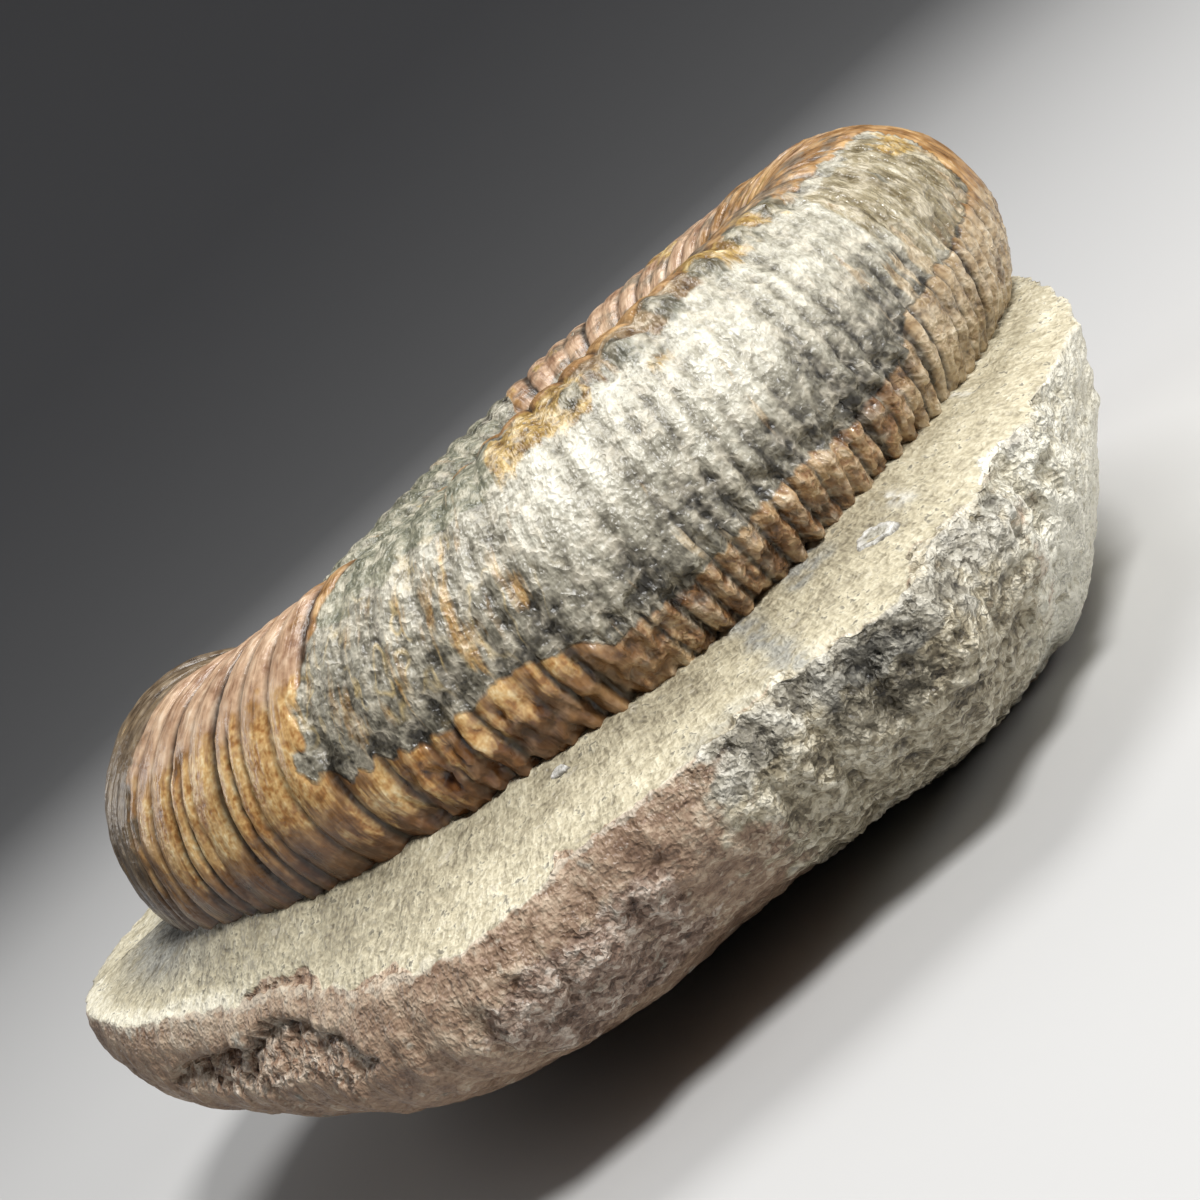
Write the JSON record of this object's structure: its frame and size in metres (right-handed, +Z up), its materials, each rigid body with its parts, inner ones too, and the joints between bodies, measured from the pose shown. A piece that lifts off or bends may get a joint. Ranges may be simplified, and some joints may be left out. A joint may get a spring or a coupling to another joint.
{
  "type": "ammonite fossil",
  "caption": "Coiled ribbed ammonite fossil standing proud of the pale prepared face of a rounded half nodule, resting on its underside.",
  "frame": {"origin": "centre of rest: the point of the nodule's resting facet that lies under the coil's axis", "axes": "+Z up along the coil's axis, out of the fossil's open face; the coil's mouth lies towards -X; +X is the narrow end of the nodule; the pictured side faces -Y"},
  "size_m": [0.0789, 0.0786, 0.0317],
  "materials": {
    "fossil_shell": "brown glossy shell over a worn silver-grey mould",
    "nodule_stone": "matt pale prepared face and rough grey-brown skin"
  },
  "bodies": {
    "root": {"ammonite": "fossil_shell", "matrix": "nodule_stone"}
  },
  "joints": []
}
